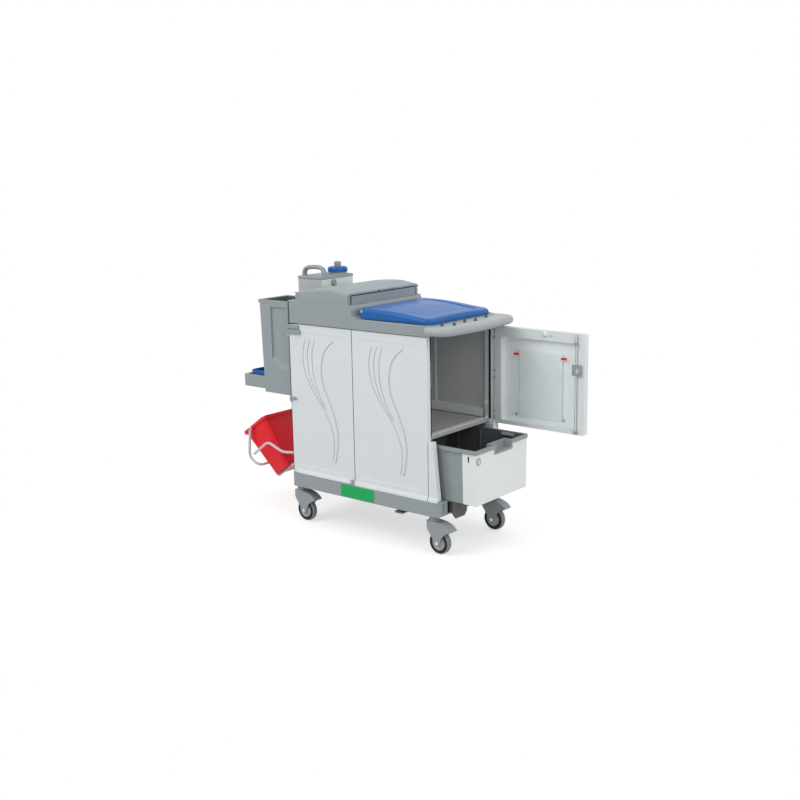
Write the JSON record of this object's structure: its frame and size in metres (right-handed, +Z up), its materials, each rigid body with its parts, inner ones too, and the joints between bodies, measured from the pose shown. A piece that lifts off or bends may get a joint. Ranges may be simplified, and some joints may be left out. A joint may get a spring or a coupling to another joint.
{
  "type": "janitor cart",
  "caption": "Closed janitor cart on swivel casters with swing-out end door, slide-out drawer, hinged lids, push handle, tall bin, water tank and a tilted bucket.",
  "frame": {"origin": "on the floor, under the middle of the whole cart", "axes": "+X towards the push handle, end door and drawer, -Y the side with the hinged side door, +Z up"},
  "size_m": [1.648, 0.5158, 1.1363],
  "materials": {
    "grey_plastic": "satin moulded",
    "dark_plastic": "satin moulded",
    "white_plastic": "satin moulded",
    "blue_plastic": "glossy moulded",
    "red_plastic": "glossy moulded",
    "green_label": "plain plate",
    "clear_plastic": "clear sheet",
    "wheel_rubber": "bonded tread",
    "coated_wire": "white coated bar",
    "steel": "plated"
  },
  "bodies": {
    "chassis": {"base_tray": "grey_plastic", "caster_stems": "steel", "drawer_runners": "dark_plastic", "label_plate": "green_label", "corner_posts": "white_plastic", "front_panel": "white_plastic", "back_panel": "white_plastic", "end_panel": "white_plastic", "partition": "dark_plastic", "upper_shelf": "dark_plastic", "inner_shelf": "dark_plastic", "bay_jambs": "white_plastic", "side_door_pins": "steel", "deck": "grey_plastic", "push_handle": "grey_plastic", "waste_lid_pins": "steel", "top_box": "grey_plastic", "box_lid_pins": "steel", "door_hinge_pins": "steel", "end_bracket": "grey_plastic", "bucket_cradle": "coated_wire"},
    "caster_1": {"caster_fork_1": "grey_plastic", "wheel_axle_1": "steel"},
    "wheel_1": {"wheel_1": "wheel_rubber"},
    "caster_2": {"caster_fork_2": "grey_plastic", "wheel_axle_2": "steel"},
    "wheel_2": {"wheel_2": "wheel_rubber"},
    "caster_3": {"caster_fork_3": "grey_plastic", "wheel_axle_3": "steel"},
    "wheel_3": {"wheel_3": "wheel_rubber"},
    "caster_4": {"caster_fork_4": "grey_plastic", "wheel_axle_4": "steel"},
    "wheel_4": {"wheel_4": "wheel_rubber"},
    "side_door": {"side_door": "white_plastic", "side_door_clips": "grey_plastic"},
    "side_latch": {"side_door_latch": "grey_plastic"},
    "waste_lid": {"waste_lid": "blue_plastic"},
    "box_lid": {"box_lid": "grey_plastic"},
    "end_door": {"end_door": "white_plastic", "document_pocket": "clear_plastic", "door_screws": "steel", "rod_guides": "grey_plastic", "lock_case": "grey_plastic"},
    "lock_knob": {"lock_knob": "steel"},
    "lock_rod_upper": {"lock_rod_upper": "steel"},
    "lock_rod_lower": {"lock_rod_lower": "steel"},
    "pocket_clip_1": {"pocket_clip_1": "red_plastic"},
    "pocket_clip_2": {"pocket_clip_2": "red_plastic"},
    "drawer": {"drawer_bin": "grey_plastic", "drawer_front": "white_plastic"},
    "drawer_lock": {"drawer_lock": "steel"},
    "tall_bin": {"tall_bin": "grey_plastic"},
    "bin_tray": {"bin_tray": "blue_plastic"},
    "tank": {"tank_body": "white_plastic", "tank_top": "grey_plastic"},
    "tank_cap": {"tank_cap": "blue_plastic"},
    "tank_button": {"tank_button": "grey_plastic"},
    "bucket": {"bucket": "red_plastic"},
    "bail": {"bucket_bail": "coated_wire", "bail_grip": "dark_plastic"}
  },
  "joints": [
    {"name": "caster_swivel_1", "type": "hinge", "parent": "chassis", "child": "caster_1", "pos_m": [-0.391, -0.195, 0.15], "axis": [0, 0, 1], "continuous": true},
    {"name": "wheel_spin_1", "type": "hinge", "parent": "caster_1", "child": "wheel_1", "pos_m": [-0.361, -0.195, 0.05], "axis": [0, 1, 0], "continuous": true},
    {"name": "caster_swivel_2", "type": "hinge", "parent": "chassis", "child": "caster_2", "pos_m": [0.365, -0.195, 0.15], "axis": [0, 0, 1], "continuous": true},
    {"name": "wheel_spin_2", "type": "hinge", "parent": "caster_2", "child": "wheel_2", "pos_m": [0.395, -0.195, 0.05], "axis": [0, 1, 0], "continuous": true},
    {"name": "caster_swivel_3", "type": "hinge", "parent": "chassis", "child": "caster_3", "pos_m": [0.365, 0.195, 0.15], "axis": [0, 0, 1], "continuous": true},
    {"name": "wheel_spin_3", "type": "hinge", "parent": "caster_3", "child": "wheel_3", "pos_m": [0.395, 0.195, 0.05], "axis": [0, 1, 0], "continuous": true},
    {"name": "caster_swivel_4", "type": "hinge", "parent": "chassis", "child": "caster_4", "pos_m": [-0.391, 0.195, 0.15], "axis": [0, 0, 1], "continuous": true},
    {"name": "wheel_spin_4", "type": "hinge", "parent": "caster_4", "child": "wheel_4", "pos_m": [-0.361, 0.195, 0.05], "axis": [0, 1, 0], "continuous": true},
    {"name": "side_door_hinge", "type": "hinge", "parent": "chassis", "child": "side_door", "pos_m": [-0.402, -0.235, 0.56], "axis": [0, 0, 1], "range_deg": [-110, 0]},
    {"name": "side_latch_turn", "type": "hinge", "parent": "side_door", "child": "side_latch", "pos_m": [-0.0475, -0.2315, 0.241], "axis": [0, 1, 0], "range_deg": [0, 90]},
    {"name": "waste_lid_hinge", "type": "hinge", "parent": "chassis", "child": "waste_lid", "pos_m": [0.012, 0, 0.978], "axis": [0, -1, 0], "range_deg": [0, 95]},
    {"name": "box_lid_hinge", "type": "hinge", "parent": "chassis", "child": "box_lid", "pos_m": [-0.338, 0, 1.019], "axis": [0, -1, 0], "range_deg": [0, 80]},
    {"name": "end_door_hinge", "type": "hinge", "parent": "chassis", "child": "end_door", "pos_m": [0.382, 0.2222, 0.685], "axis": [0, 0, 1], "range_deg": [-90, 90]},
    {"name": "lock_turn", "type": "hinge", "parent": "end_door", "child": "lock_knob", "pos_m": [0.801, 0.2082, 0.7455], "axis": [0, 1, 0], "range_deg": [0, 90]},
    {"name": "lock_rod_up", "type": "slide", "parent": "end_door", "child": "lock_rod_upper", "axis": [0, 0, 1], "range_m": [0, 0.012]},
    {"name": "lock_rod_down", "type": "slide", "parent": "end_door", "child": "lock_rod_lower", "axis": [0, 0, -1], "range_m": [0, 0.012]},
    {"name": "pocket_clip_turn_1", "type": "hinge", "parent": "end_door", "child": "pocket_clip_1", "pos_m": [0.489, 0.2302, 0.7835], "axis": [0, 1, 0], "range_deg": [0, 90]},
    {"name": "pocket_clip_turn_2", "type": "hinge", "parent": "end_door", "child": "pocket_clip_2", "pos_m": [0.72, 0.2302, 0.7835], "axis": [0, 1, 0], "range_deg": [0, 90]},
    {"name": "drawer_slide", "type": "slide", "parent": "chassis", "child": "drawer", "axis": [1, 0, 0], "range_m": [-0.15, 0.13]},
    {"name": "drawer_lock_turn", "type": "hinge", "parent": "drawer", "child": "drawer_lock", "pos_m": [0.566, -0.164, 0.4093], "axis": [1, 0, 0], "range_deg": [0, 90]},
    {"name": "bin_lift", "type": "slide", "parent": "chassis", "child": "tall_bin", "axis": [0, 0, 1], "range_m": [0, 0.12]},
    {"name": "tray_lift", "type": "slide", "parent": "tall_bin", "child": "bin_tray", "axis": [0, 0, 1], "range_m": [0, 0.06]},
    {"name": "tank_lift", "type": "slide", "parent": "chassis", "child": "tank", "axis": [0, 0, 1], "range_m": [0, 0.25]},
    {"name": "tank_cap_turn", "type": "hinge", "parent": "tank", "child": "tank_cap", "pos_m": [-0.466, 0.165, 1.1], "axis": [0, 0, 1], "range_deg": [0, 360]},
    {"name": "tank_button_push", "type": "slide", "parent": "tank", "child": "tank_button", "axis": [-1, 0, 0], "range_m": [0, 0.004], "stiffness_N_per_m": 400},
    {"name": "bucket_lift", "type": "slide", "parent": "chassis", "child": "bucket", "axis": [-0.5736, 0, 0.8192], "range_m": [0, 0.2]},
    {"name": "bail_swing", "type": "hinge", "parent": "bucket", "child": "bail", "pos_m": [-0.75989, 0, 0.35995], "axis": [0, 1, 0], "range_deg": [0, 145]}
  ],
  "couplings": [
    {"joint": "lock_turn", "follows": "lock_rod_up", "rad_per_m": 130.5},
    {"joint": "lock_rod_down", "follows": "lock_rod_up", "ratio": 0.995}
  ]
}
